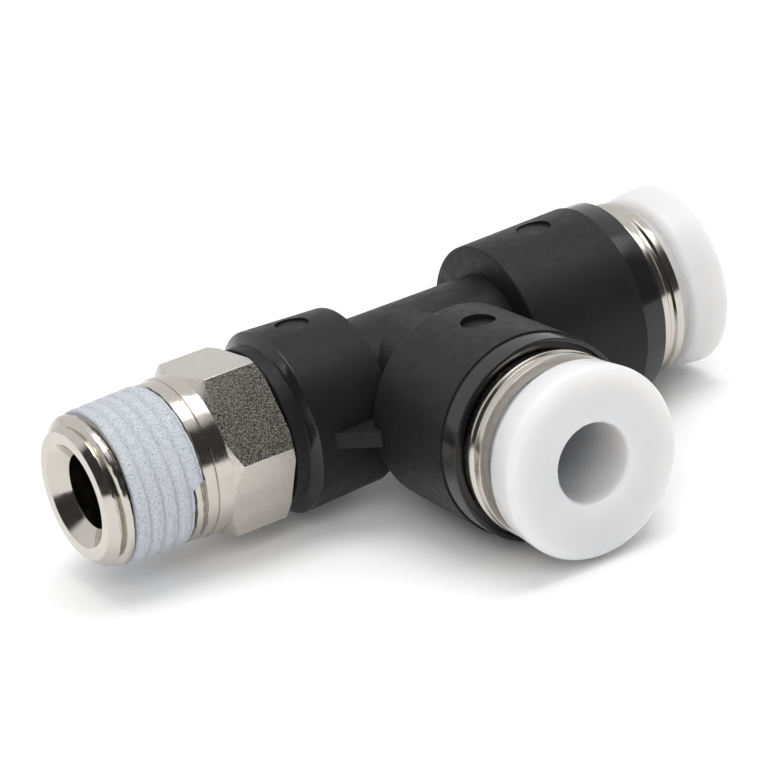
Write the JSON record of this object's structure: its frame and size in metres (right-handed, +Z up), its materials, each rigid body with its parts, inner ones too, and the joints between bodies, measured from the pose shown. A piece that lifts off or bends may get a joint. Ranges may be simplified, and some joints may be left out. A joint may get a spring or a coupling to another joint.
{
  "type": "push to connect fitting",
  "caption": "push-in tee fitting for small air tube: nickel-plated threaded hex stud in line with a tube port, another tube port branching off, black resin body with white release rings",
  "frame": {"origin": "centre of the thread's tip face, on the thread's axis", "axes": "+X from the thread's tip to the mouth of the run port, -Y out of the branch port, +Z up"},
  "size_m": [0.0441, 0.0273, 0.0126],
  "materials": {
    "black_resin": "fine moulded grain with glossy port bands",
    "nickel_brass": "bright nickel plate on turned brass",
    "sealant_coat": "matt pale coat with fine dark specks",
    "rubber": "smooth nitrile rubber",
    "spring_steel": "pressed stainless strip",
    "white_acetal": "smooth moulded acetal"
  },
  "bodies": {
    "housing": {"resin_body": "black_resin", "run_elastic_sleeve": "rubber", "run_lock_claws": "spring_steel", "run_guide_ring": "nickel_brass", "branch_elastic_sleeve": "rubber", "branch_lock_claws": "spring_steel", "branch_guide_ring": "nickel_brass"},
    "stud": {"thread_stud": "nickel_brass", "thread_sealant": "sealant_coat", "stud_o_ring": "rubber"},
    "run_release": {"run_release_ring": "white_acetal"},
    "branch_release": {"branch_release_ring": "white_acetal"}
  },
  "joints": [
    {"name": "stud_swivel", "type": "hinge", "parent": "housing", "child": "stud", "pos_m": [0.0156, 0, 0], "axis": [1, 0, 0], "continuous": true},
    {"name": "run_release_slide", "type": "slide", "parent": "housing", "child": "run_release", "axis": [-1, 0, 0], "range_m": [0, 0.0008], "stiffness_N_per_m": 6000},
    {"name": "branch_release_slide", "type": "slide", "parent": "housing", "child": "branch_release", "axis": [0, 1, 0], "range_m": [0, 0.0008], "stiffness_N_per_m": 6000}
  ]
}
